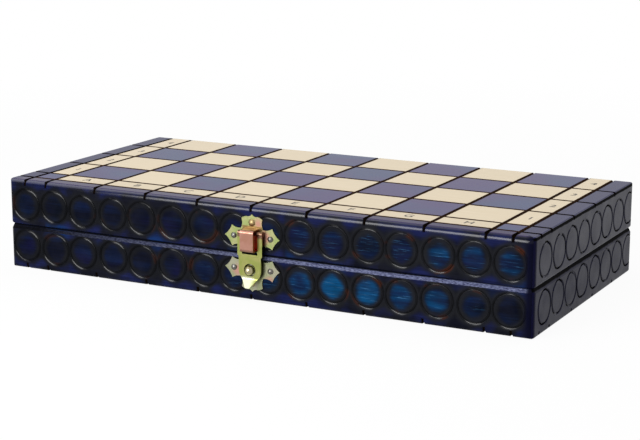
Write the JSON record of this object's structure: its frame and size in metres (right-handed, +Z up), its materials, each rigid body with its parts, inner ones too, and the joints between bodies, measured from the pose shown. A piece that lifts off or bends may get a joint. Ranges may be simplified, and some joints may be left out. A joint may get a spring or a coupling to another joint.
{
  "type": "folding chess box",
  "caption": "Folding wooden chess box: two shallow trays, each closed by half of a chess board, hinged at the back and held shut by a hasp over a knob.",
  "frame": {"origin": "under the middle of the whole closed box, on the surface it rests on, halfway between the front of the latch and the back of the hinges", "axes": "+X along the box to the right as seen from the latch, +Y from the latch to the hinges, +Z up through the lid"},
  "size_m": [0.3436, 0.1806, 0.0558],
  "materials": {
    "blue_rail": "blue stain under clear lacquer, with burned rings and grooves, and bare wood inside",
    "board": "lacquered board with blue and cream cells and burned grooves",
    "latch_plate": "stamped and brass plated",
    "hasp": "stamped and brass plated",
    "staple": "copper plated strip",
    "knob": "polished",
    "steel_nail": "bright steel",
    "brass_nail": "brass plated",
    "hinge_leaf": "brass plated",
    "hinge_pin": "bright steel",
    "hinge_screw": "brass plated"
  },
  "bodies": {
    "base": {"base_back_rail": "blue_rail", "base_board": "board", "base_front_rail": "blue_rail", "base_hinge_screws": "hinge_screw", "base_left_rail": "blue_rail", "base_right_rail": "blue_rail", "latch_base_foot_nail": "brass_nail", "latch_base_plate": "latch_plate", "latch_base_side_nails": "steel_nail", "latch_knob": "knob", "left_hinge_base_leaf": "hinge_leaf", "left_hinge_pin": "hinge_pin", "right_hinge_base_leaf": "hinge_leaf", "right_hinge_pin": "hinge_pin"},
    "lid": {"latch_lid_plate": "latch_plate", "latch_lid_side_nails": "steel_nail", "latch_lid_top_nail": "brass_nail", "latch_staple": "staple", "left_hinge_lid_leaf": "hinge_leaf", "lid_back_rail": "blue_rail", "lid_board": "board", "lid_front_rail": "blue_rail", "lid_hinge_screws": "hinge_screw", "lid_left_rail": "blue_rail", "lid_right_rail": "blue_rail", "right_hinge_lid_leaf": "hinge_leaf"},
    "hasp": {"latch_hasp": "hasp"}
  },
  "joints": [
    {"name": "lid_hinge", "type": "hinge", "parent": "base", "child": "lid", "pos_m": [0, 0.0884, 0.0279], "axis": [-1, 0, 0], "range_deg": [0, 180]},
    {"name": "hasp_pivot", "type": "hinge", "parent": "lid", "child": "hasp", "pos_m": [0.0013, -0.0853, 0.0403], "axis": [-1, 0, 0], "range_deg": [0, 160]}
  ]
}
